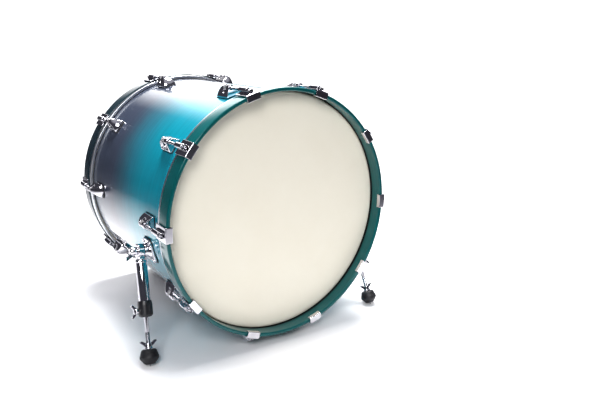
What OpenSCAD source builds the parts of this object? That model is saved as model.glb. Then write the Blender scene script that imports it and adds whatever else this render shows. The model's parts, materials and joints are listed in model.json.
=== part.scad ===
// Bass drum, 22 x 20 inch, standing on two folding spurs and its rear hoop.
// Every piece is drawn about the drum's own axis (along Y, front toward -Y) and then stood up:
// the front is raised by a small lean, and the floor is z = 0 below the middle of the drum.

/* [Shell] */
// Outer diameter of the shell
shell_d = 558; // [556:0.5:559]
// Length of the shell between its bearing edges
shell_len = 508; // [500:1:510]
// Thickness of the shell
shell_wall = 7.5; // [6:0.5:9]
// Angle of the vent from the top, on the right side
vent_angle = 72; // [66:1:78]
// Radius of the vent's clear bore
vent_r = 8; // [5:0.5:8.5]

/* [Hoops] */
// Outer diameter of the wooden hoops
hoop_d = 580; // [578:0.5:581]
// Thickness of a hoop's wood
hoop_wall = 9; // [8:0.25:9]
// Depth of a hoop along the drum
hoop_depth = 41; // [38:1:42]
// Length of the drum over both hoops
drum_len = 575.6; // [575:0.1:576]

/* [Heads] */
// Thickness of a head's film
film_t = 1; // [0.5:0.1:1]
// Section of a flesh hoop, across and along the drum
flesh_hoop = [6.2, 11.8]; // [5:0.1:12]

/* [Tension hardware] */
// Angles of the tension rods from the top
rod_angles = [18, 54, 90, 126, 162, 198, 234, 270, 306, 342]; // [18:36:342]
// Distance of the tension rods from the drum's axis
rod_place_r = 298.5; // [298:0.1:299]
// Radius of a tension rod's shank
rod_r = 3; // [2.5:0.1:3]
// Distance from the hoop's outer face to the rod's inner end
rod_end = 118; // [114:1:119]
// Width of a claw's hook
claw_w = 34; // [28:1:36]
// Thickness of a claw's plates
claw_t = 3; // [2:0.1:3]
// Radius of a claw's barrel
claw_barrel_r = 6.5; // [6:0.1:6.6]
// Thickness of the rubber pad under a claw
pad_t = 0.8; // [0.6:0.1:0.9]
// Where a lug starts and ends, inward from the hoop's outer face
lug_span = [88, 142]; // [86:1:144]
// Width of a lug's foot
lug_w = 34; // [30:1:36]
// Where the slot for the swivel nut starts and ends
nut_slot = [100, 112]; // [98:1:114]

/* [Spurs] */
// Where the right spur's spike stands, across and along the drum
spike_at = [316, -234]; // [-320:0.5:320]
// Point of the right spur's hinge, about the drum's axis
pivot = [294, -143, -73]; // [-300:0.5:300]
// Outer radius of the leg tube
tube_r = 12.7; // [12:0.1:13]
// Radius of the sliding inner rod
leg_rod_r = 5; // [4.5:0.1:5]
// Greatest radius of the rubber foot
foot_r = 21; // [18:0.5:22]
// Angle of the spur bracket's middle from the top
bracket_angle = 105.5; // [105:0.5:106]

/* [Stance] */
// Angle that the front of the drum is raised by
lean = 2.08; // [1.9:0.01:2.2]

/* [Hidden] */
$fn = 48;

half_len = drum_len / 2;
shell_r = shell_d / 2;
shell_in_r = shell_r - shell_wall;
hoop_r = hoop_d / 2;
hoop_in_r = hoop_r - hoop_wall;
edge = shell_len / 2;                  // bearing edges at +-edge along the drum
rest_z = half_len * sin(lean) + hoop_r * cos(lean);
gap = 0.05;                            // between curved faces that fit one another
gasket_t = 0.9;
seat_r = shell_r + gasket_t + 2 * gap; // inner radius of whatever is screwed to the shell
wall_cut = [250, 300];                 // radii that a hole through the shell's wall reaches
screw_r = 2.5;
screw_hole_r = screw_r + 0.5;          // the loose hole for a screw in the shell and its gaskets
washer_r = 6.5;
rod_bore_r = rod_r + 0.3;
thread_clear = 0.08;
head_flange_r = 4.9;
claw_cup = [3, 18];                    // the recess for the rod's head, along the rod
lug_screw_at = [94, 130];
lug_top = 7.5;                         // height of a lug above the rod's axis
lug_dome_r = 34;
lug_dome_at = 108;

spike_tip = [spike_at.x, spike_at.y, (spike_at.y * sin(lean) - rest_z) / cos(lean)];
leg_up = pivot - spike_tip;
leg_len = norm(leg_up);
leg_turn = [-asin(leg_up.y / leg_len), atan2(leg_up.x, leg_up.z), 0];
knuckle_r = 16;
knuckle = [-5.9, 9];                   // inner and outer face of the leg's knuckle, along the hinge
boss_face = -6;
bolt_r = 4;
tube_ends = [-122, -18];               // along the leg, with the hinge at 0 and the floor below
tube_bore_r = tube_r - 2;
tube_stop = tube_ends[1] - 10;         // the closed end of the tube's bore
clamp_ends = [-146, -110];
clamp_r = 16;
clamp_screw_at = -132;
clamp_bolt_r = 3;
rod_top = -52;
spike_end = 0.2 - leg_len;
taper_end = 12 - leg_len;
foot_ends = [6 - leg_len, 37.5 - leg_len];
nut_ends = [foot_ends[1] + 0.1, foot_ends[1] + 14];
bracket_screws = [[-22, -15], [22, -15], [-22, 15], [22, 15]];

// ---- placing ----

module stand() translate([0, 0, rest_z]) rotate([-lean, 0, 0]) children();

// Turns a profile of (radius, distance toward the front) about the drum's axis.
module lathe() rotate([90, 0, 0]) rotate_extrude($fn = 180) children();

module rear() mirror([0, 1, 0]) children();

// Both ends of the drum.
module both() {
    children();
    rear() children();
}

// A rod's own place: origin on the rod's axis in the plane of the hoop's outer face,
// +Y inward along the rod, +Z away from the drum.
module rod_place(angle) rotate([0, angle, 0]) translate([0, -half_len, rod_place_r]) children();

module rod_places() for (angle = rod_angles) rod_place(angle) children();

// Back from a rod's place to the drum's axis.
module from_rod() translate([0, half_len, -rod_place_r]) children();

// A cylinder along +Y from one distance to another.
module bar(r, from, to, r_end = 0) {
    translate([0, from, 0]) rotate([-90, 0, 0])
        cylinder(h = to - from, r1 = r, r2 = r_end == 0 ? r : r_end);
}

module side(s) {
    if (s < 0) mirror([1, 0, 0]) children();
    else children();
}

// A spur's own place: origin on the hinge, +Z up along the leg, +X outward along the hinge's pin.
module spur() translate(pivot) rotate(leg_turn) children();

// A cylinder along X, in a spur's place.
module pin(r, from, to) translate([from, 0, 0]) rotate([0, 90, 0]) cylinder(r = r, h = to - from);

// A cylinder along the leg.
module post(r, from, to) translate([0, 0, from]) cylinder(r = r, h = to - from);

// A cutter along +Z from the drum's axis, through whatever is at the shell's wall.
module through_wall(r) translate([0, 0, wall_cut[0]]) cylinder(r = r, h = wall_cut[1] - wall_cut[0]);

// ---- shell and heads ----

module shell_section() {
    bevel = 4.5;
    polygon([
        [shell_in_r, -edge + bevel], [shell_in_r + bevel, -edge], [shell_in_r + bevel + 1, -edge],
        [shell_r, -edge + 2], [shell_r, edge - 2], [shell_in_r + bevel + 1, edge],
        [shell_in_r + bevel, edge], [shell_in_r, edge - bevel]
    ]);
}

module lug_screw_places() {
    both() rod_places() for (d = lug_screw_at) translate([0, d, 0]) children();
}

module bracket_screw_places() {
    for (s = [-1, 1]) side(s) rotate([0, bracket_angle, 0])
        for (p = bracket_screws) translate([p.x, pivot.y + p.y, 0]) children();
}

module vent_place() rotate([0, vent_angle, 0]) children();

module shell() {
    color("teal") stand() difference() {
        lathe() shell_section();
        lug_screw_places() translate([0, 0, -rod_place_r]) through_wall(screw_hole_r);
        bracket_screw_places() through_wall(screw_hole_r);
        vent_place() through_wall(vent_r + 2);
    }
}

module vent_grommet() {
    flange_t = 1.5;
    outer_flange = shell_r + 0.3;
    inner_flange = shell_in_r - 2.1;
    color("silver") stand() vent_place() difference() {
        union() {
            translate([0, 0, outer_flange]) cylinder(r = vent_r + 6, h = flange_t);
            translate([0, 0, inner_flange])
                cylinder(r = vent_r + 1.9, h = outer_flange + flange_t / 2 - inner_flange);
            translate([0, 0, inner_flange]) cylinder(r = vent_r + 5, h = flange_t);
        }
        through_wall(vent_r);
    }
}

module hoop() {
    soft = 1.6;
    lathe() polygon([
        [hoop_in_r, half_len - hoop_depth], [hoop_r - soft, half_len - hoop_depth],
        [hoop_r, half_len - hoop_depth + soft], [hoop_r, half_len - soft],
        [hoop_r - soft, half_len], [hoop_in_r + soft, half_len], [hoop_in_r, half_len - soft]
    ]);
}

// The film lies on the bearing edge, turns down outside the shell and ends in the flesh hoop.
module head() {
    collar = [shell_r + 0.5, shell_r + 0.5 + film_t];
    lip = half_len - hoop_depth - 7.9;
    lip_r = collar[1] + 3.7;
    bend = [2.4, 3.5];                 // inner and outer size of the fold over the edge
    lathe() polygon([
        [0, edge], [0, edge + film_t], [collar[1] - bend[1], edge + film_t],
        [collar[1], edge + film_t - bend[1] + 0.5],
        [collar[1], lip + film_t], [lip_r, lip + film_t], [lip_r, lip],
        [collar[0], lip], [collar[0], edge - bend[0]], [collar[0] - bend[0], edge]
    ]);
}

module flesh_ring() {
    inner = hoop_in_r + 0.3;
    outer = inner + flesh_hoop[0];
    top = half_len - hoop_depth;
    soft = 1.5;
    groove = [top - 8.2, top - 6.6];   // holds the film's edge
    groove_depth = 3.4;
    lathe() difference() {
        polygon([
            [inner, top - flesh_hoop[1]], [outer - soft, top - flesh_hoop[1]],
            [outer, top - flesh_hoop[1] + soft], [outer, top - 1], [outer - 1, top], [inner, top]
        ]);
        translate([inner - 1, groove[0]]) square([groove_depth + 1, groove[1] - groove[0]]);
    }
}

module front_hoop() { color("teal") stand() hoop(); }
module rear_hoop() { color("darkslategray") stand() rear() hoop(); }
module front_head() { color("antiquewhite") stand() head(); }
module rear_head() { color("antiquewhite") stand() rear() head(); }
module front_flesh_hoop() { color("silver") stand() flesh_ring(); }
module rear_flesh_hoop() { color("silver") stand() rear() flesh_ring(); }

// ---- lugs ----

module lug() {
    foot_z = seat_r - rod_place_r;
    foot_t = 4;
    crest = [lug_top - 0.3, 2];        // where the foot's flanks meet the round top
    difference() {
        intersection() {
            translate([0, lug_span[1], 0]) rotate([90, 0, 0])
                linear_extrude(lug_span[1] - lug_span[0]) {
                    circle(r = lug_top);
                    polygon([
                        [-lug_w / 2, foot_z - 1], [lug_w / 2, foot_z - 1],
                        [lug_w / 2, foot_z + foot_t], crest,
                        [-crest.x, crest.y], [-lug_w / 2, foot_z + foot_t]
                    ]);
                }
            union() {
                translate([-lug_w, lug_span[0], -30])
                    cube([2 * lug_w, lug_dome_at - lug_span[0], 50]);
                translate([0, lug_dome_at, lug_top - lug_dome_r]) sphere(r = lug_dome_r);
            }
        }
        from_rod() bar_through(seat_r);
        translate([-lug_w, nut_slot[0], -8]) cube([2 * lug_w, nut_slot[1] - nut_slot[0], 30]);
        bar(rod_r + 0.6, lug_span[0] - 1, rod_end + 2);
        for (d = lug_screw_at) translate([0, d, foot_z - 5]) cylinder(r = screw_r + gap, h = 13);
    }
}

// A long cylinder on the drum's axis, for cutting a seat on the shell.
module bar_through(r) rotate([90, 0, 0]) cylinder(r = r, h = 2 * drum_len, center = true, $fn = 180);

module gasket() {
    cut = 3;
    w = lug_w / 2 + 1;
    ends = [lug_span[0] - 1, lug_span[1] + 1];
    difference() {
        intersection() {
            from_rod() lathe() translate([shell_r + gap, 0]) square([gasket_t, half_len]);
            translate([0, 0, -30]) linear_extrude(30) polygon([
                [-w + cut, ends[0]], [w - cut, ends[0]], [w, ends[0] + cut], [w, ends[1] - 2 * cut],
                [w - 2 * cut, ends[1]], [2 * cut - w, ends[1]], [-w, ends[1] - 2 * cut],
                [-w, ends[0] + cut]
            ]);
        }
        for (d = lug_screw_at) translate([0, d, -rod_place_r]) through_wall(screw_hole_r);
    }
}

// A screw through the shell from inside, up to the radius called top; its axis is +Z.
module shell_screw(base, top) {
    washer = base - 1.3;
    head_h = 3.2;
    translate([0, 0, washer]) cylinder(r = washer_r, h = 1);
    translate([0, 0, washer - head_h]) cylinder(r = 4.8, h = head_h);
    translate([0, 0, washer]) cylinder(r = screw_r, h = top - washer);
}

module swivel_nut() {
    nut_r = 6;
    difference() {
        bar(nut_r, nut_slot[0] + gap, nut_slot[1] - gap);
        bar(rod_r + thread_clear, nut_slot[0] - 1, nut_slot[1] + 1);
    }
}

module front_lugs() { color("silver") stand() rod_places() lug(); }
module rear_lugs() { color("silver") stand() rear() rod_places() lug(); }
module lug_gaskets() { color("dimgray") stand() both() rod_places() gasket(); }
module lug_screws() {
    color("silver") stand() lug_screw_places()
        shell_screw(shell_in_r - rod_place_r, seat_r + 5.5 - rod_place_r);
}
module swivel_nuts() { color("silver") stand() both() rod_places() swivel_nut(); }

// ---- claws and tension rods ----

// Outline of a claw seen from outside the drum: a wide hook that narrows like a bell to the barrel.
module claw_outline() {
    hook_end = 8;
    neck = [8, 32];
    steps = 8;
    flank = [for (i = [0:steps]) let (t = i / steps)
        [neck[0] + (claw_w / 2 - neck[0]) * (1 + cos(180 * t)) / 2,
         hook_end + (neck[1] - hook_end) * t]];
    right = concat([[claw_w / 2, -8]], flank, [[neck[0], 46]]);
    polygon(concat(right, [for (i = [len(right) - 1:-1:0]) [-right[i].x, right[i].y]]));
}

// Section of a claw's hook: over the hoop, across its face and a little down inside it.
module claw_section() {
    inner = hoop_r + pad_t + 2 * gap;
    face = half_len + pad_t;
    lip = [hoop_in_r - 0.6 - claw_t, hoop_in_r - 0.6];
    polygon([
        [lip[0], half_len - 7], [lip[0], face + claw_t - 1], [lip[0] + 1, face + claw_t],
        [inner + claw_t - 1.5, face + claw_t], [inner + claw_t, face + claw_t - 1.5],
        [inner + claw_t, half_len - 50], [inner, half_len - 50], [inner, face], [lip[1], face],
        [lip[1], half_len - 7]
    ]);
}

module claw() {
    barrel_end = 50;
    taper = 3;
    window = [2.4, 15];                // above the rod's axis, and how far inward it runs
    difference() {
        union() {
            intersection() {
                from_rod() lathe() claw_section();
                translate([0, 0, -30]) linear_extrude(40) claw_outline();
            }
            bar(claw_barrel_r, claw_cup[0], barrel_end - taper);
            bar(claw_barrel_r, barrel_end - taper, barrel_end, claw_barrel_r - 2);
        }
        bar(rod_bore_r, 0, barrel_end + 10);
        bar(head_flange_r + 0.3, -10, claw_cup[1]);
        translate([-claw_w, -10, window[0]]) cube([2 * claw_w, window[1] + 10, 20]);
    }
}

module claw_pad() {
    inner = hoop_r + gap;
    reach = 20;
    pad_w = claw_w - 4;
    intersection() {
        from_rod() lathe() polygon([
            [hoop_in_r + 2, half_len], [hoop_in_r + 2, half_len + pad_t],
            [inner + pad_t, half_len + pad_t], [inner + pad_t, half_len - reach],
            [inner, half_len - reach], [inner, half_len]
        ]);
        translate([-pad_w / 2, -10, -30]) cube([pad_w, 40, 40]);
    }
}

module rod_washer() {
    difference() {
        bar(head_flange_r, claw_cup[1] - 1, claw_cup[1]);
        bar(rod_bore_r, 0, 30);
    }
}

module tension_rod() {
    head = 6;
    head_from = 5;
    head_len = 11;
    translate([-head / 2, head_from, -head / 2]) cube([head, head_len, head]);
    bar(head_flange_r, claw_cup[1] - 3, claw_cup[1] - 1);
    bar(rod_r, claw_cup[1] - 2, rod_end - 1);
    bar(rod_r, rod_end - 1, rod_end, rod_r - 0.8);
}

module front_claws() { color("silver") stand() rod_places() claw(); }
module rear_claws() { color("silver") stand() rear() rod_places() claw(); }
module claw_pads() { color("dimgray") stand() both() rod_places() claw_pad(); }
module rod_washers() { color("silver") stand() both() rod_places() rod_washer(); }
module front_tension_rod(i) { color("lightgray") stand() rod_place(rod_angles[i]) tension_rod(); }
module rear_tension_rod(i) {
    color("lightgray") stand() rear() rod_place(rod_angles[i]) tension_rod();
}

// ---- spurs ----

// Outline of the bracket's foot on the shell, grown by a margin.
module bracket_outline(margin) {
    w = 30 + margin;
    l = 22 + margin;
    cut = 7;
    translate([0, pivot.y]) polygon([
        [-w + cut, -l], [w - cut, -l], [w, -l + cut], [w, l - cut],
        [w - cut, l], [-w + cut, l], [-w, l - cut], [-w, -l + cut]
    ]);
}

// A plate curved round the shell, in the bracket's outline.
module shell_plate(from_r, to_r, margin) {
    intersection() {
        rotate([90, 0, 0]) difference() {
            cylinder(r = to_r, h = shell_len, center = true, $fn = 180);
            cylinder(r = from_r, h = drum_len, center = true, $fn = 180);
        }
        rotate([0, bracket_angle, 0]) translate([0, 0, wall_cut[0]])
            linear_extrude(wall_cut[1] - wall_cut[0]) bracket_outline(margin);
    }
}

module bracket_holes(r) {
    rotate([0, bracket_angle, 0]) for (p = bracket_screws)
        translate([p.x, pivot.y + p.y, 0]) through_wall(r);
}

module spur_bracket() {
    plate_t = 5;
    difference() {
        union() {
            shell_plate(seat_r, seat_r + plate_t, 0);
            spur() pin(knuckle_r, -36, boss_face);
        }
        bar_through(seat_r);
        bracket_holes(screw_r + gap);
        spur() pin(bolt_r + gap, -22, 0);
    }
}

module spur_gasket() {
    difference() {
        shell_plate(shell_r + gap, shell_r + gap + gasket_t, 1);
        bracket_holes(screw_hole_r);
    }
}

module spur_screws() {
    rotate([0, bracket_angle, 0]) for (p = bracket_screws)
        translate([p.x, pivot.y + p.y, 0]) {
            drop = shell_in_r - sqrt(pow(shell_in_r, 2) - pow(abs(p.x) + washer_r, 2));
            shell_screw(shell_in_r - drop, seat_r + 3);
        }
}

module leg_tube() {
    spur() difference() {
        union() {
            pin(knuckle_r, knuckle[0], knuckle[1]);
            translate([knuckle[0], -9, tube_ends[1] - 4])
                cube([knuckle[1] - knuckle[0], 18, 12]);
            post(tube_r, tube_ends[0], tube_ends[1]);
        }
        pin(bolt_r + gap, -20, 20);
        post(tube_bore_r, tube_ends[0] - 1, tube_stop);
    }
}

// Two flat wings: an outline of span and reach, standing on X and spread along Z.
module wings(base, reach, span, thick) {
    rotate([90, 0, 0]) translate([0, 0, -thick / 2]) linear_extrude(thick) polygon([
        [base, -span * 0.3], [base, span * 0.3], [base + reach * 0.35, span * 0.62],
        [base + reach * 0.8, span], [base + reach, span * 0.93], [base + reach, span * 0.66],
        [base + reach * 0.6, span * 0.25], [base + reach * 0.6, -span * 0.25],
        [base + reach, -span * 0.66], [base + reach, -span * 0.93],
        [base + reach * 0.8, -span], [base + reach * 0.35, -span * 0.62]
    ]);
}

module pivot_knob() {
    spur() {
        pin(bolt_r, -21, 12);
        pin(9, knuckle[1] + 0.1, 21);
        wings(13, 22, 21, 5);
    }
}

module height_clamp() {
    spur() difference() {
        post(clamp_r, clamp_ends[0], clamp_ends[1]);
        post(tube_r + gap, tube_ends[0] - gap, clamp_ends[1] + 1);
        post(leg_rod_r + thread_clear, clamp_ends[0] - 1, clamp_ends[1]);
        translate([0, 0, clamp_screw_at]) pin(clamp_bolt_r + gap, 2, clamp_r + 2);
    }
}

module clamp_screw() {
    spur() translate([0, 0, clamp_screw_at]) {
        pin(clamp_bolt_r, leg_rod_r + 0.3, 20);
        pin(6, clamp_r + 0.3, 23);
        wings(18, 14, 16, 4);
    }
}

// The rod slides in the tube on its wide top guide, and ends below in a spike.
module leg_rod() {
    guide = [rod_top - 8, rod_top];
    spur() rotate_extrude() polygon([
        [0, spike_end], [0.5, spike_end], [leg_rod_r, taper_end], [leg_rod_r, guide[0]],
        [tube_bore_r - 0.1, guide[0]], [tube_bore_r - 0.1, guide[1]], [0, guide[1]]
    ]);
}

module lock_nut() {
    spur() difference() {
        union() {
            post(8.5, nut_ends[0], nut_ends[1]);
            translate([0, 0, nut_ends[0] + 4]) rotate([0, -90, 0]) wings(0, 15, 20, 4);
        }
        post(leg_rod_r + thread_clear, nut_ends[0] - 1, nut_ends[1] + 20);
    }
}

module foot() {
    bore_r = leg_rod_r + thread_clear;
    waist = [foot_ends[0] + 12.5, foot_ends[0] + 16.5];
    spur() rotate_extrude($fn = 96) polygon([
        [bore_r, foot_ends[1]], [15, foot_ends[1]], [17.5, foot_ends[1] - 2.5],
        [foot_r, waist[1]], [foot_r, waist[0]], [11, foot_ends[0]], [bore_r, foot_ends[0]]
    ]);
}

module left_spur_bracket() { color("silver") stand() side(-1) spur_bracket(); }
module left_spur_gasket() { color("dimgray") stand() side(-1) spur_gasket(); }
module left_spur_screws() { color("silver") stand() side(-1) spur_screws(); }
module left_leg_tube() { color("silver") stand() side(-1) leg_tube(); }
module left_pivot_knob() { color("silver") stand() side(-1) pivot_knob(); }
module left_height_clamp() { color("dimgray") stand() side(-1) height_clamp(); }
module left_clamp_screw() { color("silver") stand() side(-1) clamp_screw(); }
module left_leg_rod() { color("lightgray") stand() side(-1) leg_rod(); }
module left_lock_nut() { color("silver") stand() side(-1) lock_nut(); }
module left_foot() { color("black") stand() side(-1) foot(); }
module right_spur_bracket() { color("silver") stand() side(1) spur_bracket(); }
module right_spur_gasket() { color("dimgray") stand() side(1) spur_gasket(); }
module right_spur_screws() { color("silver") stand() side(1) spur_screws(); }
module right_leg_tube() { color("silver") stand() side(1) leg_tube(); }
module right_pivot_knob() { color("silver") stand() side(1) pivot_knob(); }
module right_height_clamp() { color("dimgray") stand() side(1) height_clamp(); }
module right_clamp_screw() { color("silver") stand() side(1) clamp_screw(); }
module right_leg_rod() { color("lightgray") stand() side(1) leg_rod(); }
module right_lock_nut() { color("silver") stand() side(1) lock_nut(); }
module right_foot() { color("black") stand() side(1) foot(); }

// ---- what is drawn ----

function rod_name(end, i) = str(end, "_tension_rod_", i < 9 ? "0" : "", i + 1);

shell();
vent_grommet();
front_hoop();
rear_hoop();
front_head();
rear_head();
front_flesh_hoop();
rear_flesh_hoop();
front_lugs();
rear_lugs();
lug_gaskets();
lug_screws();
swivel_nuts();
front_claws();
rear_claws();
claw_pads();
rod_washers();
for (i = [0:len(rod_angles) - 1]) {
    front_tension_rod(i);
    rear_tension_rod(i);
}
left_spur_bracket();
left_spur_gasket();
left_spur_screws();
left_leg_tube();
left_pivot_knob();
left_height_clamp();
left_clamp_screw();
left_leg_rod();
left_lock_nut();
left_foot();
right_spur_bracket();
right_spur_gasket();
right_spur_screws();
right_leg_tube();
right_pivot_knob();
right_height_clamp();
right_clamp_screw();
right_leg_rod();
right_lock_nut();
right_foot();
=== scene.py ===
import json
import math

import bpy
from mathutils import Matrix, Vector


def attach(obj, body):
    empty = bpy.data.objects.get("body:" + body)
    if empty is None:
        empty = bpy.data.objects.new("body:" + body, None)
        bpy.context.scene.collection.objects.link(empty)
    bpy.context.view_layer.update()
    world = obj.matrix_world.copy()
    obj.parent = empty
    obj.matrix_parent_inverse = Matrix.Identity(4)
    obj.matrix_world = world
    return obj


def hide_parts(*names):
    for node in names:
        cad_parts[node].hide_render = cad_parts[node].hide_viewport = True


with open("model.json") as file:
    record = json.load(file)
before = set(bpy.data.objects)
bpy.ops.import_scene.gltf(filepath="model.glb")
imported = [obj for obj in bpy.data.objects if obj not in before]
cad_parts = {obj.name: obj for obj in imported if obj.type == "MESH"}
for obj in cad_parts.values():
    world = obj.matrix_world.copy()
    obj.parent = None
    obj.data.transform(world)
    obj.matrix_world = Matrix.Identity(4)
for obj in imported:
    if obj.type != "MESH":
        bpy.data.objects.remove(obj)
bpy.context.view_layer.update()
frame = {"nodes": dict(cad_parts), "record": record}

# ---- sizes, as in the CAD model (mm and degrees) ----

MM = 0.001
DRUM_LEN = 575.6
HALF = DRUM_LEN / 2
HOOP_R, HOOP_WALL, HOOP_DEPTH = 290.0, 9.0, 41.0
HOOP_IN_R = HOOP_R - HOOP_WALL
SHELL_R, SHELL_WALL, EDGE = 279.0, 7.5, 254.0
SHELL_IN_R = SHELL_R - SHELL_WALL
FILM_T = 1.0
SEAT_R = SHELL_R + 1.0
ROD_PLACE_R = 298.5
ROD_R, ROD_END = 3.0, 118.0
ROD_ANGLES = [18 + 36 * i for i in range(10)]
CLAW_T, CLAW_W, PAD_T = 3.0, 34.0, 0.8
CLAW_BARREL_R = 6.5
LUG_W, LUG_START, LUG_END, LUG_TOP = 34.0, 88.0, 142.0, 7.5
LUG_DOME_R, LUG_DOME_AT = 34.0, 108.0
NUT_SLOT = (100.0, 112.0)
VENT_ANGLE, VENT_R = 72.0, 8.0
PIVOT = Vector((294.0, -143.0, -73.0))
SPIKE_X, SPIKE_Y = 316.0, -234.0
BRACKET_ANGLE = 105.5
TUBE_R, LEG_ROD_R, FOOT_R = 12.7, 5.0, 21.0
KNUCKLE = (-5.9, 9.0)
LEAN = math.radians(2.08)

REST_Z = HALF * math.sin(LEAN) + HOOP_R * math.cos(LEAN)
STAND = Matrix.Translation((0, 0, REST_Z * MM)) @ Matrix.Rotation(-LEAN, 4, "X")
SPIKE_TIP = Vector((SPIKE_X, SPIKE_Y, (SPIKE_Y * math.sin(LEAN) - REST_Z) / math.cos(LEAN)))


def turn(degrees, axis):
    return Matrix.Rotation(math.radians(degrees), 4, axis)


def shift(x, y, z):
    return Matrix.Translation((x, y, z))


# Profiles are turned about +Z, so these put that axis where it is wanted.
ALONG_FRONT = turn(90, "X")      # +Z goes to -Y, the drum's front
ALONG_ROD = turn(-90, "X")       # +Z goes to +Y, inward along a tension rod
ALONG_HINGE = turn(90, "Y")      # +Z goes to +X, outward along a spur's hinge
leg_up = PIVOT - SPIKE_TIP
LEG_LEN = leg_up.length
# Heights along the leg, with the hinge at 0 and the floor below.
TUBE_END = -122.0
CLAMP_ENDS = (-146.0, -110.0)
CLAMP_SCREW_AT = -132.0
ROD_TOP = -52.0
FOOT_ENDS = (6.0 - LEG_LEN, 37.5 - LEG_LEN)
NUT_START = FOOT_ENDS[1] + 0.1
SPUR = (Matrix.Translation(PIVOT)
        @ Matrix.Rotation(math.atan2(leg_up.x, leg_up.z), 4, "Y")
        @ Matrix.Rotation(-math.asin(leg_up.y / LEG_LEN), 4, "X"))
FROM_ROD = shift(0, HALF, -ROD_PLACE_R)


# ---- mesh making: a solid is (points, faces) in millimetres ----

def placed(solid, matrix):
    points, faces = solid
    return [matrix @ Vector(p) for p in points], faces


def lathe(profile, segments=64, matrix=Matrix()):
    """A closed profile of (radius, height) turned about Z. Points on the axis become poles."""
    points, rings = [], []
    for r, h in profile:
        if r < 1e-6:
            rings.append([len(points)])
            points.append((0, 0, h))
        else:
            rings.append(list(range(len(points), len(points) + segments)))
            for i in range(segments):
                a = 2 * math.pi * i / segments
                points.append((r * math.cos(a), r * math.sin(a), h))
    faces = []
    for a, b in zip(rings, rings[1:] + rings[:1]):
        if len(a) == 1 and len(b) == 1:
            continue
        for i in range(segments):
            j = (i + 1) % segments
            if len(a) == 1:
                faces.append((a[0], b[j], b[i]))
            elif len(b) == 1:
                faces.append((a[i], a[j], b[0]))
            else:
                faces.append((a[i], a[j], b[j], b[i]))
    return placed((points, faces), matrix)


def loft(sections, matrix=Matrix()):
    """A skin through closed sections with the same number of points, capped at both ends."""
    n = len(sections[0])
    points = [p for s in sections for p in s]
    faces = [(k * n + i, k * n + (i + 1) % n, (k + 1) * n + (i + 1) % n, (k + 1) * n + i)
             for k in range(len(sections) - 1) for i in range(n)]
    faces.append(tuple(reversed(range(n))))
    faces.append(tuple(range((len(sections) - 1) * n, len(sections) * n)))
    return placed((points, faces), matrix)


def prism(outline, low, high, matrix=Matrix()):
    """An outline of (x, y) between two heights."""
    return loft([[(x, y, z) for x, y in outline] for z in (low, high)], matrix)


def block(low, high, matrix=Matrix()):
    (x0, y0, z0), (x1, y1, z1) = low, high
    return prism([(x0, y0), (x1, y0), (x1, y1), (x0, y1)], z0, z1, matrix)


def rounded(outline, radius, steps=4):
    """The outline with every corner rounded, each by no more than its sides allow."""
    out = []
    n = len(outline)
    for i, point in enumerate(outline):
        p = Vector(point)
        before, after = Vector(outline[i - 1]) - p, Vector(outline[(i + 1) % n]) - p
        r = radius[i] if isinstance(radius, (list, tuple)) else radius
        cut = min(r, before.length * 0.45, after.length * 0.45)
        a, b = p + before.normalized() * cut, p + after.normalized() * cut
        for k in range(steps + 1):
            t = k / steps
            out.append(tuple(a.lerp(p, t).lerp(p.lerp(b, t), t)))
    return out


def disc(radius, low, high, soft=0.6, segments=64, matrix=Matrix()):
    """A solid disc or bar with softened rims."""
    profile = rounded([(0, low), (radius, low), (radius, high), (0, high)], [0, soft, soft, 0])
    return lathe(profile, segments, matrix)


def ring(inner, outer, low, high, soft=0.6, segments=64, matrix=Matrix()):
    square = [(inner, low), (outer, low), (outer, high), (inner, high)]
    return lathe(rounded(square, soft), segments, matrix)


def joined(*solids):
    points, faces = [], []
    for more_points, more_faces in solids:
        start = len(points)
        points += [tuple(p) for p in more_points]
        faces += [tuple(start + i for i in f) for f in more_faces]
    return points, faces


def mesh_of(name, solid, sharp=32):
    points, faces = solid
    mesh = bpy.data.meshes.new(name)
    mesh.from_pydata([Vector(p) * MM for p in points], [], faces)
    mesh.validate()
    mesh.shade_smooth()
    mesh.set_sharp_from_angle(angle=math.radians(sharp))
    return mesh


def mirrored(solid):
    points, faces = solid
    return [(-p[0], p[1], p[2]) for p in points], [tuple(reversed(f)) for f in faces]


def linked(name, mesh):
    obj = bpy.data.objects.new(name, mesh)
    bpy.context.scene.collection.objects.link(obj)
    return obj


def cut_away(work, cutters):
    for cutter in cutters:
        take = work.modifiers.new("cut", "BOOLEAN")
        take.operation, take.solver, take.object = "DIFFERENCE", "EXACT", cutter


def baked(name, work, cutters):
    """The working object's mesh with its modifiers applied; the working objects go."""
    seen = work.evaluated_get(bpy.context.evaluated_depsgraph_get())
    mesh = bpy.data.meshes.new_from_object(seen)
    mesh.name = name
    for obj in (work, *cutters):
        old = obj.data
        bpy.data.objects.remove(obj)
        bpy.data.meshes.remove(old)
    return mesh


def casting(name, adds, cuts=(), voxel=0.7, softening=4):
    """One cast piece: solids fused, others cut away, and every edge softened. Gives a mesh."""
    work = linked(name + "_work", mesh_of(name + "_work", joined(*adds)))
    fuse = work.modifiers.new("fuse", "REMESH")
    fuse.mode, fuse.voxel_size = "VOXEL", voxel * MM
    cutters = [linked(f"{name}_cut_{i}", mesh_of(f"{name}_cut_{i}", cut))
               for i, cut in enumerate(cuts)]
    cut_away(work, cutters)
    again = work.modifiers.new("again", "REMESH")
    again.mode, again.voxel_size = "VOXEL", voxel * MM
    soften = work.modifiers.new("soften", "SMOOTH")
    soften.factor, soften.iterations = 0.5, softening
    mesh = baked(name, work, cutters)
    mesh.shade_smooth()
    return mesh


def solid_of(mesh):
    """A finished mesh back as points and faces in millimetres."""
    points = [v.co / MM for v in mesh.vertices]
    return points, [tuple(p.vertices) for p in mesh.polygons]


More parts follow.
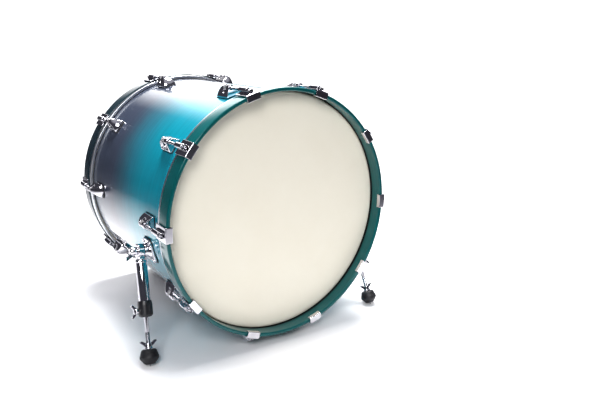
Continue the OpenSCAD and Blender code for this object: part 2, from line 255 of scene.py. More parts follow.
def cast_solid(name, adds, cuts=(), voxel=0.7, softening=4):
    mesh = casting(name, adds, cuts, voxel, softening)
    solid = solid_of(mesh)
    bpy.data.meshes.remove(mesh)
    return solid


# ---- materials ----

def new_material(name):
    """A material, its node tree and its Principled shader."""
    mat = bpy.data.materials.new(name)
    mat.use_nodes = True
    tree = mat.node_tree
    return mat, tree, tree.nodes["Principled BSDF"]


def add_node(tree, kind, **inputs):
    node = tree.nodes.new(kind)
    for key, value in inputs.items():
        node.inputs[key.replace("_", " ")].default_value = value
    return node


def noise(tree, scale, detail=4.0, roughness=0.5, stretch=(1, 1, 1)):
    """Noise on the object's own coordinates, in metres; stretch is its scale along each axis."""
    where = tree.nodes.new("ShaderNodeTexCoord")
    mapping = add_node(tree, "ShaderNodeMapping", Scale=stretch)
    tree.links.new(where.outputs["Object"], mapping.inputs["Vector"])
    tex = add_node(tree, "ShaderNodeTexNoise", Scale=scale, Detail=detail, Roughness=roughness)
    tree.links.new(mapping.outputs["Vector"], tex.inputs["Vector"])
    return tex.outputs["Fac"]


def ramp(tree, fac, stops):
    """Colours at places along fac: stops are (place, colour)."""
    node = tree.nodes.new("ShaderNodeValToRGB")
    elements = node.color_ramp.elements
    while len(elements) < len(stops):
        elements.new(0.5)
    for element, (place, colour) in zip(elements, stops):
        element.position = place
        element.color = (*colour, 1)
    tree.links.new(fac, node.inputs["Fac"])
    return node.outputs["Color"]


def spread(tree, fac, low, high, from_low=0.3, from_high=0.7):
    """fac between from_low and from_high, stretched to run from low to high."""
    node = add_node(tree, "ShaderNodeMapRange")
    node.inputs["From Min"].default_value = from_low
    node.inputs["From Max"].default_value = from_high
    node.inputs["To Min"].default_value = low
    node.inputs["To Max"].default_value = high
    tree.links.new(fac, node.inputs["Value"])
    return node.outputs["Result"]


def bump(tree, shader, height, strength, distance):
    node = add_node(tree, "ShaderNodeBump", Strength=strength, Distance=distance)
    tree.links.new(height, node.inputs["Height"])
    tree.links.new(node.outputs["Normal"], shader.inputs["Normal"])


def mixed(tree, fac, a, b):
    """a and b blended by fac; each is a colour or an output."""
    node = tree.nodes.new("ShaderNodeMix")
    node.data_type = "RGBA"
    tree.links.new(fac, node.inputs["Factor"])
    for socket, value in ((node.inputs[6], a), (node.inputs[7], b)):
        if isinstance(value, tuple):
            socket.default_value = (*value, 1)
        else:
            tree.links.new(value, socket)
    return node.outputs[2]


def lacquer_finish(mat, tree, shader, colour):
    """Clear gloss over stained wood, with the faint ripple that sprayed lacquer has."""
    tree.links.new(colour, shader.inputs["Base Color"])
    shader.inputs["Roughness"].default_value = 0.32
    shader.inputs["Specular IOR Level"].default_value = 0.2
    shader.inputs["Coat Weight"].default_value = 1.0
    shader.inputs["Coat IOR"].default_value = 1.38
    shader.inputs["Coat Roughness"].default_value = 0.02
    bump(tree, shader, noise(tree, 30, 2.0), 0.02, 0.002)
    return mat


TEAL_DEEP, TEAL_LIT = (0.0, 0.21, 0.28), (0.0, 0.27, 0.36)
NIGHT_DEEP, NIGHT_LIT = (0.040, 0.052, 0.082), (0.054, 0.068, 0.104)
RING_GRAIN = (2, 55, 2)          # grain runs round the drum and changes along it


def fade_lacquer(name, middle, width):
    """Teal stain at the front fading to dark blue grey toward the rear, over grain."""
    mat, tree, shader = new_material(name)
    grain = noise(tree, 4, 6.0, 0.6, RING_GRAIN)
    teal = ramp(tree, grain, [(0.3, TEAL_DEEP), (0.7, TEAL_LIT)])
    night = ramp(tree, grain, [(0.3, NIGHT_DEEP), (0.7, NIGHT_LIT)])
    where = tree.nodes.new("ShaderNodeTexCoord")
    parts = tree.nodes.new("ShaderNodeSeparateXYZ")
    tree.links.new(where.outputs["Object"], parts.inputs["Vector"])
    cloud = spread(tree, noise(tree, 5, 3.0), -0.02, 0.02)
    total = tree.nodes.new("ShaderNodeMath")
    tree.links.new(parts.outputs["Y"], total.inputs[0])
    tree.links.new(cloud, total.inputs[1])
    place = add_node(tree, "ShaderNodeMapRange")
    place.interpolation_type = "SMOOTHSTEP"
    place.inputs["From Min"].default_value = middle - width / 2
    place.inputs["From Max"].default_value = middle + width / 2
    tree.links.new(total.outputs["Value"], place.inputs["Value"])
    colour = mixed(tree, place.outputs["Result"], teal, night)
    return lacquer_finish(mat, tree, shader, colour)


def hoop_lacquer(name, deep, lit, painted_shade_colour):
    """Stained hoop wood, painted near black as shade where the inner wall goes down behind the
    head.
    """
    mat, tree, shader = new_material(name)
    grain = noise(tree, 4, 6.0, 0.6, RING_GRAIN)
    stain = ramp(tree, grain, [(0.3, deep), (0.7, lit)])
    where = tree.nodes.new("ShaderNodeTexCoord")
    flat = add_node(tree, "ShaderNodeVectorMath")
    flat.operation = "MULTIPLY"
    flat.inputs[1].default_value = (1, 0, 1)
    tree.links.new(where.outputs["Object"], flat.inputs[0])
    radius = tree.nodes.new("ShaderNodeVectorMath")
    radius.operation = "LENGTH"
    tree.links.new(flat.outputs["Vector"], radius.inputs[0])
    parts = tree.nodes.new("ShaderNodeSeparateXYZ")
    tree.links.new(where.outputs["Object"], parts.inputs["Vector"])
    along = tree.nodes.new("ShaderNodeMath")
    along.operation = "ABSOLUTE"
    tree.links.new(parts.outputs["Y"], along.inputs[0])
    # painted shade: near black on the inner wall from a little above the head downward, for the
    # shadowed gap there
    wall, seat = (HOOP_IN_R + 3) * MM, (EDGE + FILM_T + 3.5) * MM
    outer = spread(tree, radius.outputs["Value"], 0, 1, wall, wall + MM)
    clear = spread(tree, along.outputs["Value"], 0, 1, seat - MM, seat + MM)
    stained = tree.nodes.new("ShaderNodeMath")
    stained.operation = "MAXIMUM"
    tree.links.new(outer, stained.inputs[0])
    tree.links.new(clear, stained.inputs[1])
    colour = mixed(tree, stained.outputs["Value"], painted_shade_colour, stain)
    return lacquer_finish(mat, tree, shader, colour)


def film_material():
    """Coated drum film: warm white with a faint mottle and a fine sprayed texture."""
    mat, tree, shader = new_material("head_film")
    mottle = noise(tree, 9, 5.0, 0.6)
    colour = ramp(tree, mottle, [(0.3, (0.835, 0.79, 0.67)), (0.7, (0.855, 0.815, 0.70))])
    tree.links.new(colour, shader.inputs["Base Color"])
    tree.links.new(spread(tree, noise(tree, 60), 0.42, 0.58), shader.inputs["Roughness"])
    shader.inputs["Specular IOR Level"].default_value = 0.35
    bump(tree, shader, noise(tree, 1600, 3.0, 0.7), 0.12, 0.0004)
    return mat


def metal_material(name, dark, light, rough, stretch=(1, 1, 1), grain=60, depth=0.006):
    """Metal whose colour and roughness drift a little over the surface."""
    mat, tree, shader = new_material(name)
    drift = noise(tree, grain, 4.0, 0.5, stretch)
    tree.links.new(ramp(tree, drift, [(0.3, dark), (0.7, light)]), shader.inputs["Base Color"])
    tree.links.new(spread(tree, drift, *rough), shader.inputs["Roughness"])
    shader.inputs["Metallic"].default_value = 1.0
    bump(tree, shader, noise(tree, grain * 4, 2.0, 0.5, stretch), depth, 0.0005)
    return mat


def dull_material(name, dark, light, rough, grain, depth):
    """Rubber, gasket or painted casting."""
    mat, tree, shader = new_material(name)
    drift = noise(tree, grain, 5.0, 0.65)
    tree.links.new(ramp(tree, drift, [(0.35, dark), (0.65, light)]), shader.inputs["Base Color"])
    tree.links.new(spread(tree, drift, *rough), shader.inputs["Roughness"])
    bump(tree, shader, noise(tree, grain * 5, 3.0, 0.7), depth, 0.0006)
    return mat


MATERIALS = {
    "shell_lacquer": fade_lacquer("shell_lacquer", -0.01, 0.24),
    # The last colour given for each hoop is painted shade for the gap behind the head.
    "hoop_lacquer": hoop_lacquer(
        "hoop_lacquer", (0.0, 0.078, 0.082), (0.0, 0.108, 0.110), (0.001, 0.006, 0.007)),
    "rear_hoop_lacquer": hoop_lacquer(
        "rear_hoop_lacquer", (0.010, 0.016, 0.024), (0.008, 0.036, 0.046), (0.001, 0.006, 0.008)),
    "head_film": film_material(),
    "flesh_hoop_alloy": metal_material(
        "flesh_hoop_alloy", (0.80, 0.82, 0.85), (0.88, 0.90, 0.92), (0.26, 0.34),
        (1, 1, 1), 12, 0.0),
    "chrome": metal_material("chrome", (0.60, 0.595, 0.635), (0.69, 0.68, 0.715), (0.03, 0.08)),
    "rod_steel": metal_material("rod_steel", (0.36, 0.36, 0.39), (0.48, 0.48, 0.51), (0.14, 0.26)),
    "screw_steel": metal_material(
        "screw_steel", (0.50, 0.50, 0.50), (0.62, 0.61, 0.60), (0.25, 0.4)),
    "clamp_casting": dull_material(
        "clamp_casting", (0.012, 0.012, 0.014), (0.022, 0.022, 0.026), (0.28, 0.42), 90, 0.08),
    "gasket_rubber": dull_material(
        "gasket_rubber", (0.012, 0.012, 0.013), (0.03, 0.03, 0.032), (0.6, 0.8), 120, 0.15),
    "foot_rubber": dull_material(
        "foot_rubber", (0.008, 0.008, 0.010), (0.020, 0.020, 0.023), (0.42, 0.62), 140, 0.2),
}


def piece(name, mesh, body, nodes, slot, matrix=Matrix()):
    """A finished piece in the drum's frame, riding on a body and standing for CAD nodes."""
    obj = linked(name, mesh)
    obj.matrix_world = STAND @ matrix
    if not mesh.materials:
        mesh.materials.append(MATERIALS[slot])
    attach(obj, body)
    if nodes:
        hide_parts(*nodes)
    return obj


def metres(matrix):
    """A place worked out in millimetres, as an object's matrix."""
    out = matrix.copy()
    out.translation = matrix.translation * MM
    return out


# ---- shell, hoops and heads ----

def shell_solid():
    bevel = 4.5
    around_vent = [-24, -12, 12, 24]
    profile = [
        (SHELL_IN_R, -EDGE + bevel), (SHELL_IN_R + bevel, -EDGE), (SHELL_IN_R + bevel + 1, -EDGE),
        (SHELL_R - 0.6, -EDGE + 1.1), (SHELL_R, -EDGE + 2.4),
        *[(SHELL_R, h) for h in around_vent],
        (SHELL_R, EDGE - 2.4), (SHELL_R - 0.6, EDGE - 1.1), (SHELL_IN_R + bevel + 1, EDGE),
        (SHELL_IN_R + bevel, EDGE), (SHELL_IN_R, EDGE - bevel),
        *[(SHELL_IN_R, h) for h in reversed(around_vent)],
    ]
    return lathe(profile, 360, ALONG_FRONT)


def drilled(name, solid, cutter_solid):
    """The solid with one clean hole through it."""
    work = linked(name + "_work", mesh_of(name + "_work", solid, 20))
    cutter = linked(name + "_cutter", mesh_of(name + "_cutter", cutter_solid))
    cut_away(work, [cutter])
    return baked(name, work, [cutter])


def make_shell():
    vent = turn(VENT_ANGLE, "Y")
    hole = disc(VENT_R + 2, 255, 295, 0, 48, vent)
    piece("shell_body", drilled("shell_body", shell_solid(), hole), "drum", ["shell"],
          "shell_lacquer")
    tube_r = VENT_R + 1.9
    low, high = SHELL_IN_R - 2.1, SHELL_R + 1.8
    profile = rounded([
        (VENT_R, low), (VENT_R + 5, low), (VENT_R + 5, low + 1.5), (tube_r, low + 1.5),
        (tube_r, high - 1.5), (VENT_R + 6, high - 1.5), (VENT_R + 6, high), (VENT_R, high),
    ], [0.6, 0.6, 0.6, 0.1, 0.1, 0.6, 1.0, 1.4])
    piece("vent_ring", mesh_of("vent_ring", lathe(profile, 96, vent)), "drum",
          ["vent_grommet"], "chrome")


def hoop_profile():
    inside = HALF - HOOP_DEPTH
    return rounded([
        (HOOP_IN_R, inside), (HOOP_R, inside), (HOOP_R, HALF), (HOOP_IN_R, HALF),
    ], [0.8, 2.6, 3.2, 4.0], 6)


def head_profile():
    """The film rises a little to its bearing edge, rolls over it and ends in the flesh hoop."""
    inner, outer = SHELL_R + 0.5, SHELL_R + 0.5 + FILM_T
    lip = HALF - HOOP_DEPTH - 7.9
    top = EDGE + FILM_T
    return [
        (0, top), (90, top), (180, top), (255, top), (268, top), (273, top - 0.05),
        (276.4, top - 0.35), (278.6, top - 1.2), (outer - 0.5, top - 2.6), (outer, top - 4.6),
        (outer, lip + 1), (outer + 3.7, lip + 1), (outer + 3.7, lip), (inner, lip),
        (inner, EDGE - 3.2), (inner - 2.2, EDGE), (180, EDGE), (0, EDGE),
    ]


def flesh_profile():
    inner = HOOP_IN_R + 0.3
    outer = inner + 6.2
    top = HALF - HOOP_DEPTH
    return rounded([
        (inner, top - 11.8), (outer, top - 11.8), (outer, top), (inner, top),
        (inner, top - 6.6), (inner + 3.4, top - 6.6), (inner + 3.4, top - 8.2),
        (inner, top - 8.2),
    ], [0.5, 2.2, 1.2, 0.4, 0.1, 0.1, 0.1, 0.1])


def make_ends():
    for end, way in (("front", Matrix()), ("rear", turn(180, "Z"))):
        lacquer = "hoop_lacquer" if end == "front" else "rear_hoop_lacquer"
        for part, profile, slot in (
            ("hoop", hoop_profile(), lacquer),
            ("head", head_profile(), "head_film"),
            ("flesh_hoop", flesh_profile(), "flesh_hoop_alloy"),
        ):
            name = f"{end}_{part}"
            mesh = mesh_of(name + "_ring", lathe(profile, 288, ALONG_FRONT), 40)
            piece(name + "_ring", mesh, "drum", [name], slot, way)


# ---- lugs, claws and tension rods ----

def lug_section(d):
    """A cross-section of the lug at distance d along the rod: (x, z) from foot over to foot."""
    fall = LUG_DOME_R ** 2 - max(0, d - LUG_DOME_AT) ** 2
    drop = LUG_TOP - LUG_DOME_R
    half = min(LUG_W / 2, math.sqrt(max(1, fall - 12.0 ** 2)))
    points = []
    steps = 32
    for i in range(steps + 1):
        x = half * math.cos(math.pi * i / steps)
        tube = math.sqrt(max(0, LUG_TOP ** 2 - x * x)) if abs(x) < 7.2 else 0
        flank = 2 - (abs(x) - 7.2) * 16.5 / (LUG_W / 2 - 7.2)
        height = tube if abs(x) < 7.2 else flank
        dome = drop + math.sqrt(max(0, fall - x * x))
        points.append((x, min(height, dome)))
    foot = []
    for i in range(9):
        x = half * (2 * i / 8 - 1)
        foot.append((x, math.sqrt(SEAT_R ** 2 - x * x) - ROD_PLACE_R))
    return [(x, d, max(z, -18.0)) for x, z in points] + [(x, d, z) for x, z in foot]


def lug_mesh():
    stations = [LUG_START + i * 1.5 for i in range(int((LUG_END - LUG_START) / 1.5))]
    body = loft([list(reversed(lug_section(d))) for d in stations + [LUG_END - 0.6]])
    collar = lathe(rounded([(0, LUG_START), (LUG_TOP - 0.4, LUG_START), (LUG_TOP - 0.4, 98),
                            (0, 98)], [0, 1.2, 0, 0]), 48, ALONG_ROD)
    slot = block((-LUG_W, NUT_SLOT[0], -8), (LUG_W, NUT_SLOT[1], 20))
    bore = disc(ROD_R + 0.6, LUG_START - 2, ROD_END + 2, 0, 32, ALONG_ROD)
    return casting("lug", [body, collar], [slot, bore], 0.65, 4)


def claw_profile():
    """Section of the hook: over the hoop, across its face and a little down inside it."""
    inner = HOOP_R + PAD_T + 0.1
    face = HALF + PAD_T
    lip = (HOOP_IN_R - 0.6 - CLAW_T, HOOP_IN_R - 0.6)
    return rounded([
        (lip[0], HALF - 7), (lip[0], face + CLAW_T), (inner + CLAW_T, face + CLAW_T),
        (inner + CLAW_T, HALF - 47), (inner, HALF - 47), (inner, face), (lip[1], face),
        (lip[1], HALF - 7),
    ], [1.2, 1.6, 2.4, 0.6, 0.6, 0.3, 0.3, 1.2])


def sector(profile, half_angle, steps):
    """A closed (radius, toward front) profile swept a little way round the drum's top."""
    sections = []
    for i in range(steps + 1):
        a = math.radians(half_angle * (2 * i / steps - 1))
        sections.append([(r * math.sin(a), -h, r * math.cos(a)) for r, h in profile])
    return loft(sections, FROM_ROD)


def claw_mesh():
    hook_end, neck_half, neck_at = 8.0, 8.0, 32.0
    flank = []
    for i in range(17):
        t = i / 16
        across = neck_half + (CLAW_W / 2 - neck_half) * (1 + math.cos(math.pi * t)) / 2
        flank.append((across, hook_end + (neck_at - hook_end) * t))
    waste = [(40, 7), (CLAW_W / 2 + 0.2, 7), *flank, (neck_half, 80), (40, 80)]
    sides = [prism(waste, -40, 40), mirrored(prism(waste, -40, 40))]
    corner = [(CLAW_W / 2 - 2.5, -9), (CLAW_W / 2 + 6, -9), (CLAW_W / 2 + 6, -1)]
    barrel = lathe([(0, 3), (CLAW_BARREL_R, 3), (CLAW_BARREL_R, 45.5), (6.1, 47.5), (5.2, 49.2),
                    (3.9, 50), (0, 50)], 48, ALONG_ROD)
    bore = disc(ROD_R + 0.3, 0, 60, 0, 32, ALONG_ROD)
    cup = disc(5.2, -10, 18, 0, 48, ALONG_ROD)
    window = block((-20, -10, 2.4), (20, 15, 20))
    cuts = [*sides, prism(corner, -40, 40), mirrored(prism(corner, -40, 40)), bore, cup, window]
    hook = sector(claw_profile(), 3.36, 24)
    return casting("claw", [hook, barrel], cuts, 0.6, 3)


def rod_mesh():
    """A key rod: square head with a softened crown, flange, shank and cut thread."""
    pitch, root = 1.06, ROD_R - 0.45
    thread_from = 60.0
    half = 3.0
    square = rounded([(-half, -half), (half, -half), (half, half), (-half, half)], 0.5, 3)
    head = loft([
        [(x * s, y * s, z) for x, y in square]
        for s, z in ((0.72, 4.6), (0.93, 5.1), (1, 5.9), (1, 15.2))
    ], ALONG_ROD)
    flange = ring(1, 4.9, 15, 16.95, 0.7, 32, ALONG_ROD)
    profile = [(0, 15.5), (ROD_R, 15.5), (ROD_R, thread_from)]
    at = thread_from
    while at + pitch < ROD_END - 1:
        profile += [(root, at + pitch * 0.5), (ROD_R, at + pitch)]
        at += pitch
    profile += [(root - 0.3, ROD_END), (0, ROD_END)]
    shank = lathe(profile, 20, ALONG_ROD)
    return mesh_of("tension_rod", joined(head, flange, shank), 40)


def swivel_nut_mesh():
    """The nut seen in the lug's slot: round, with a coarse knurl."""
    teeth, low, high = 24, NUT_SLOT[0] + 0.1, NUT_SLOT[1] - 0.1
    outline = []
    for i in range(teeth * 4):
        r = 6.0 if i % 4 < 2 else 5.65
        a = 2 * math.pi * i / (teeth * 4)
        outline.append((r * math.cos(a), r * math.sin(a)))
    sections = [[(x * s, y * s, z) for x, y in outline]
                for s, z in ((0.9, low), (1, low + 0.8), (1, high - 0.8), (0.9, high))]
    return mesh_of("swivel_nut", loft(sections, ALONG_ROD), 20)


def make_hardware():
    lug, claw, rod, nut = lug_mesh(), claw_mesh(), rod_mesh(), swivel_nut_mesh()
    for end, side, way in (("front", -1, Matrix()), ("rear", 1, turn(180, "Z"))):
        for i, angle in enumerate(ROD_ANGLES, 1):
            place = metres(turn(angle, "Y") @ shift(0, side * HALF, ROD_PLACE_R) @ way)
            piece(f"{end}_lug_{i:02d}", lug, "drum", [f"{end}_lugs"], "chrome", place)
            piece(f"{end}_claw_{i:02d}", claw, "drum", [f"{end}_claws"], "chrome", place)
            piece(f"{end}_nut_{i:02d}", nut, "drum", ["swivel_nuts"], "screw_steel", place)
            name = f"{end}_tension_rod_{i:02d}"
            piece(f"{end}_key_rod_{i:02d}", rod, name, [name], "rod_steel", place)


# ---- spurs ----

def wings(base, reach, span, thick, matrix):
    """Two flat wings on a hub: they reach along X and spread along Z."""
    outline = rounded([
        (base, -span * 0.3), (base + reach * 0.35, -span * 0.62), (base + reach * 0.8, -span),
        (base + reach, -span * 0.93), (base + reach, -span * 0.66),
        (base + reach * 0.6, -span * 0.25),
        (base + reach * 0.6, span * 0.25), (base + reach, span * 0.66), (base + reach, span * 0.93),
        (base + reach * 0.8, span), (base + reach * 0.35, span * 0.62), (base, span * 0.3),
    ], 4.5, 4)
    return prism(outline, -thick / 2, thick / 2, matrix @ turn(90, "X"))


def bracket_solid():
    """Foot plate curved round the shell, a flared boss for the hinge, and four button heads."""
    w, l, cut = 30.0, 22.0, 7.0      # the plate's half sizes and its corner cut
    outline = rounded([
        (-w + cut, -l), (w - cut, -l), (w, -l + cut), (w, l - cut),
        (w - cut, l), (-w + cut, l), (-w, l - cut), (-w, -l + cut),
    ], 5, 3)
    middle = turn(BRACKET_ANGLE, "Y") @ shift(0, PIVOT.y, 0)
    plate = prism(outline, 270, SEAT_R + 6, middle)
    rim = [(SEAT_R + 5, -260), (320, -260), (320, 260), (SEAT_R + 5, 260)]
    outside = lathe(rim, 256, ALONG_FRONT)
    inside = lathe([(0, -300), (SEAT_R, -300), (SEAT_R, 300), (0, 300)], 256, ALONG_FRONT)
    foot = cast_solid("bracket_foot", [plate], [outside, inside], 0.8, 8)
    boss = disc(16, -36, -6, 1.2, 64, SPUR @ ALONG_HINGE)
    skirt = lathe([(0, -36), (20.5, -36), (20.5, -20), (17.5, -16), (16, -11), (0, -11)], 64,
                  SPUR @ ALONG_HINGE)
    body = cast_solid("bracket_boss", [boss, skirt], [inside], 0.8, 10)
    buttons = [disc(4.2, SEAT_R + 2, SEAT_R + 6.4, 1.0, 32, middle @ shift(x * 0.985, y, 0))
               for x in (-22, 22) for y in (-15, 15)]
    return joined(foot, body, *buttons)


def leg_tube_solid():
    """Knuckle and neck in one casting, with the chrome tube standing in it."""
    hinge = SPUR @ ALONG_HINGE
    knuckle = disc(16, KNUCKLE[0], KNUCKLE[1], 1.6, 64, hinge)
    cap = disc(11, KNUCKLE[1] - 1, KNUCKLE[1] + 0.05, 0.4, 48, hinge)
    neck = loft([[(x, y, z) for x, y in rounded(
        [(x0, -w), (x1, -w), (x1, w), (x0, w)], 3, 3)]
        for z, w, x0, x1 in ((-26, 11.5, -10, 11), (-18, 10, -7, 9.5), (-8, 9, -5.9, 9))], SPUR)
    sleeve = disc(13.6, -27, -20, 1.5, 64, SPUR)
    bore = disc(4.1, -20, 20, 0, 32, hinge)
    top = cast_solid("leg_top", [knuckle, cap, neck, sleeve], [bore], 0.75, 10)
    tube = ring(10.7, TUBE_R, TUBE_END, -24, 0.8, 96, SPUR)
    return joined(top, tube)


def pivot_knob_solid():
    hinge = SPUR @ ALONG_HINGE
    hub = lathe(rounded([(0, 9.1), (9, 9.1), (9, 18), (6.5, 24), (0, 24)], [0, 1, 2, 2, 0]), 64,
                hinge)
    head = cast_solid("knob", [hub, wings(13, 22, 21, 5, SPUR)], (), 0.6, 10)
    bolt = disc(4, -21, 12, 0.4, 32, hinge)
    return joined(head, bolt)


def height_clamp_solid():
    """The black collar at the tube's end, with a split and an ear for its screw."""
    low, high = CLAMP_ENDS
    profile = rounded([
        (0, low), (12, low), (16, low + 4), (16, high - 8), (14.6, high), (0, high)
    ], [0, 2, 2.5, 2.5, 1.2, 0])
    body = lathe(profile, 96, SPUR)
    screw = SPUR @ shift(0, 0, CLAMP_SCREW_AT) @ ALONG_HINGE
    ear = disc(8, 8, 16.2, 1.0, 48, screw)
    upper = disc(TUBE_R + 0.05, TUBE_END, high + 20, 0, 64, SPUR)
    lower = disc(LEG_ROD_R + 0.08, low - 12, high, 0, 48, SPUR)
    hole = disc(3.1, 0, 24, 0, 24, screw)
    split = block((-1, 4, low - 12), (1, 30, TUBE_END - 2), SPUR)
    return cast_solid("clamp", [body, ear], [upper, lower, hole, split], 0.7, 3)


def clamp_screw_solid():
    here = SPUR @ shift(0, 0, CLAMP_SCREW_AT)
    hub = disc(6, 16.3, 23, 1.0, 48, here @ ALONG_HINGE)
    head = cast_solid("clamp_head", [hub, wings(18, 14, 16, 4, here)], (), 0.55, 10)
    return joined(head, disc(3, 5.3, 20, 0.3, 24, here @ ALONG_HINGE))


def leg_rod_solid():
    """The sliding rod: a guide at its top, a thread above the foot, and a spike below."""
    pitch, root = 1.25, LEG_ROD_R - 0.5
    thread_from, thread_to = 13.5 - LEG_LEN, -178.0
    guide = ROD_TOP - 8
    profile = [(0, 0.2 - LEG_LEN), (0.5, 0.25 - LEG_LEN), (root, 12 - LEG_LEN)]
    at = thread_from
    while at + pitch < thread_to:
        profile += [(LEG_ROD_R, at + pitch * 0.5), (root, at + pitch)]
        at += pitch
    profile += [(LEG_ROD_R, thread_to), (LEG_ROD_R, guide), (10.6, guide), (10.6, ROD_TOP),
                (0, ROD_TOP)]
    return lathe(profile, 40, SPUR)


def lock_nut_solid():
    low, high = NUT_START, NUT_START + 13.9
    hub = lathe(rounded([
        (0, low), (9.2, low), (9.2, low + 2.9), (7.6, low + 4.9), (6.8, high), (0, high)
    ], [0, 0.6, 0.6, 1, 1.4, 0]), 64, SPUR)
    lift = SPUR @ shift(0, 0, low + 4) @ turn(-90, "Y")
    bore = disc(LEG_ROD_R + 0.1, low - 6, low + 34, 0, 48, SPUR)
    return cast_solid("nut", [hub, wings(0, 15, 20, 4, lift)], [bore], 0.55, 4)


def foot_solid():
    """A rubber foot: a waisted barrel with a shoulder, grip grooves and a dished end."""
    low, high = FOOT_ENDS
    bore, shoulder, waist = LEG_ROD_R + 0.08, (17.2, high - 3.6), (FOOT_R, low + 16.5)
    profile = [(bore, high), (13.5, high), (15.8, high - 1.2), shoulder]
    grooves = 3
    for i in range(1, grooves + 1):
        t = i / (grooves + 1)
        r = shoulder[0] + (waist[0] - shoulder[0]) * t
        h = shoulder[1] + (waist[1] - shoulder[1]) * t
        profile += [(r, h + 0.9), (r - 0.5, h + 0.3), (r - 0.5, h - 0.3), (r + 0.3, h - 0.9)]
    profile += [(FOOT_R - 0.3, low + 17.1), (FOOT_R, low + 16.1), (FOOT_R, low + 12.9),
                (FOOT_R - 0.3, low + 11.9), (12.2, low + 1.1), (10.6, low), (7.2, low),
                (5.6, low + 2.5), (bore, low + 3.5)]
    return lathe(list(reversed(profile)), 96, SPUR)


SPUR_PARTS = [
    # node, body, slot, maker
    ("spur_bracket", "drum", "chrome", bracket_solid),
    ("leg_tube", "leg", "chrome", leg_tube_solid),
    ("pivot_knob", "pivot_knob", "chrome", pivot_knob_solid),
    ("height_clamp", "leg", "clamp_casting", height_clamp_solid),
    ("clamp_screw", "clamp_screw", "chrome", clamp_screw_solid),
    ("leg_rod", "leg_rod", "rod_steel", leg_rod_solid),
    ("lock_nut", "lock_nut", "chrome", lock_nut_solid),
    ("foot", "foot", "foot_rubber", foot_solid),
]


def make_spurs():
    for node, body, slot, maker in SPUR_PARTS:
        solid = maker()
        for side, shape in (("right", solid), ("left", mirrored(solid))):
            ride_on = body if body == "drum" else f"{side}_{body}"
            mesh = mesh_of(f"{side}_{node}_piece", shape, 35)
            piece(f"{side}_{node}_piece", mesh, ride_on, [f"{side}_{node}"], slot)


def finish_cad_nodes():
    """The CAD nodes that stay get the material of their slot."""
    slots = {s["node"]: s["material_slot"] for s in frame["record"]["subparts"]}
    kept = ["lug_gaskets", "lug_screws", "claw_pads", "rod_washers"]
    kept += [f"{side}_spur_{part}" for side in ("left", "right") for part in ("gasket", "screws")]
    for name in kept:
        mesh = frame["nodes"][name].data
        mesh.materials.clear()
        mesh.materials.append(MATERIALS[slots[name]])


# ---- studio ----

FLOOR_TONES = (0.86, 0.86, 0.875), (0.88, 0.88, 0.89)
FLOOR_FAR = (0.07, 0.07, 0.08)
FLOOR_FADES = (0.55, 1.9)        # metres from the middle: the floor's own colour darkens
FLOOR_GLOWS = (0.36, 0.85)       # metres from the middle: the glow that the camera sees grows
FLOOR_HALF, FLOOR_SQUARES = 30.0, 30


def make_floor():
    """A pale floor near the drum. Farther out it goes dark, so that chrome reflects dark,
    and glows white for the camera only, so that it has no horizon."""
    mat, tree, shader = new_material("studio_floor")
    tone = ramp(tree, noise(tree, 0.8, 2.0), [(0.3, FLOOR_TONES[0]), (0.7, FLOOR_TONES[1])])
    shader.inputs["Roughness"].default_value = 0.5
    shader.inputs["Specular IOR Level"].default_value = 0.3
    where = tree.nodes.new("ShaderNodeTexCoord")
    length = tree.nodes.new("ShaderNodeVectorMath")
    length.operation = "LENGTH"
    tree.links.new(where.outputs["Object"], length.inputs[0])
    far = spread(tree, length.outputs["Value"], 0.0, 1.0, *FLOOR_FADES)
    shade = mixed(tree, far, tone, FLOOR_FAR)
    bright = spread(tree, length.outputs["Value"], 0.0, 1.0, *FLOOR_GLOWS)
    tree.links.new(shade, shader.inputs["Base Color"])
    light = tree.nodes.new("ShaderNodeLightPath")
    glow = tree.nodes.new("ShaderNodeMath")
    glow.operation = "MULTIPLY"
    tree.links.new(bright, glow.inputs[0])
    tree.links.new(light.outputs["Is Camera Ray"], glow.inputs[1])
    tree.links.new(glow.outputs["Value"], shader.inputs["Emission Strength"])
    shader.inputs["Emission Color"].default_value = (1, 1, 1, 1)
    mesh = bpy.data.meshes.new("floor")
    n, row = FLOOR_SQUARES, FLOOR_SQUARES + 1
    places = [FLOOR_HALF * (2 * i / n - 1) for i in range(row)]
    points = [(x, y, 0) for y in places for x in places]
    faces = [(k, k + 1, k + row + 1, k + row)
             for j in range(n) for k in range(j * row, j * row + n)]
    mesh.from_pydata(points, [], faces)
    mesh.materials.append(mat)
    floor = linked("floor", mesh)


def soft_light(name, place, aim, size, power):
    """A square area light of that size in metres, turned toward a point."""
    data = bpy.data.lights.new(name, "AREA")
    data.shape = "RECTANGLE"
    data.size, data.size_y = size, size
    data.energy = power
    obj = linked(name, data)
    obj.location = place
    obj.rotation_euler = (Vector(aim) - Vector(place)).to_track_quat("-Z", "Y").to_euler()


SOFT_BOX_WAY = (0.392, 0.840, 0.375)
SOFT_BOX_EDGE = (0.90, 0.972)    # cosines of the angle from its middle, where it fades in
SOFT_BOX_STRENGTH = 2.6
SKY_LOW, SKY_HIGH = (0.07, 0.07, 0.085), (0.42, 0.42, 0.46)
WHITE = (1.0, 1.0, 1.0)


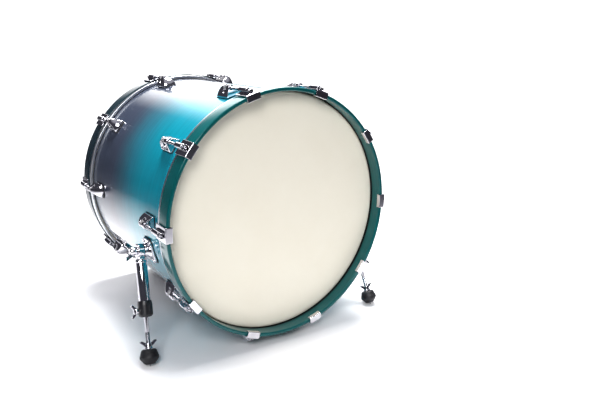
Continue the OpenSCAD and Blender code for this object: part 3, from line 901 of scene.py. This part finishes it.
def make_world():
    """A dark studio with one big soft box behind and to the right, and a dim ceiling.
    The camera itself sees white."""
    world = bpy.data.worlds.new("studio")
    bpy.context.scene.world = world
    world.use_nodes = True
    tree = world.node_tree
    back = tree.nodes["Background"]
    where = tree.nodes.new("ShaderNodeTexCoord")
    box = add_node(tree, "ShaderNodeVectorMath")
    box.operation = "DOT_PRODUCT"
    box.inputs[1].default_value = SOFT_BOX_WAY
    tree.links.new(where.outputs["Generated"], box.inputs[0])
    inside = spread(tree, box.outputs["Value"], 0, 1, *SOFT_BOX_EDGE)
    parts = tree.nodes.new("ShaderNodeSeparateXYZ")
    tree.links.new(where.outputs["Generated"], parts.inputs["Vector"])
    high = spread(tree, parts.outputs["Z"], 0, 1, 0.55, 0.75)
    sky = ramp(tree, high, [(0.0, SKY_LOW), (1.0, SKY_HIGH)])
    lit = mixed(tree, inside, sky, WHITE)
    strength = spread(tree, inside, 1.0, SOFT_BOX_STRENGTH, 0.0, 1.0)
    light = tree.nodes.new("ShaderNodeLightPath")
    seen = mixed(tree, light.outputs["Is Camera Ray"], lit, WHITE)
    tree.links.new(seen, back.inputs["Color"])
    tree.links.new(strength, back.inputs["Strength"])


def make_studio():
    make_floor()
    make_world()
    soft_light("key", (-2.2, -2.8, 2.6), (0, 0, 0.3), 1.6, 92)
    soft_light("top", (0.35, 0.3, 2.7), (0, 0, 0.2), 1.2, 140)


# ---- camera: where the photograph was taken from, about the drum's own axis ----

CAMERA = {"azimuth": -27.84, "elevation": 13.41, "roll": -0.46, "distance": 1.6509,
          "pan": 6.72, "tilt": 0.85, "focal": 619.73, "frame_width": 600}


def make_camera():
    data = bpy.data.cameras.new("camera")
    data.sensor_width = 36
    data.lens = CAMERA["focal"] / CAMERA["frame_width"] * data.sensor_width
    cam = linked("camera", data)
    az, el, roll = (math.radians(CAMERA[k]) for k in ("azimuth", "elevation", "roll"))
    back = Vector((math.sin(az) * math.cos(el), -math.cos(az) * math.cos(el), math.sin(el)))
    right = Vector((math.cos(az), math.sin(az), 0))
    up = back.cross(right)
    axes = Matrix((right * math.cos(roll) + up * math.sin(roll),
                   up * math.cos(roll) - right * math.sin(roll), back))
    aim = (Matrix.Rotation(math.radians(CAMERA["tilt"]), 3, "X")
           @ Matrix.Rotation(math.radians(CAMERA["pan"]), 3, "Y") @ axes)
    place = aim.transposed().to_4x4()
    place.translation = back * CAMERA["distance"]
    cam.matrix_world = STAND @ place
    data.clip_start, data.clip_end = 0.05, 60
    bpy.context.scene.camera = cam


make_camera()
make_studio()
make_shell()
make_ends()
make_hardware()
make_spurs()
finish_cad_nodes()
bpy.context.scene.view_settings.view_transform = "Standard"
bpy.context.scene.view_settings.look = "Medium High Contrast"

bpy.context.view_layer.update()
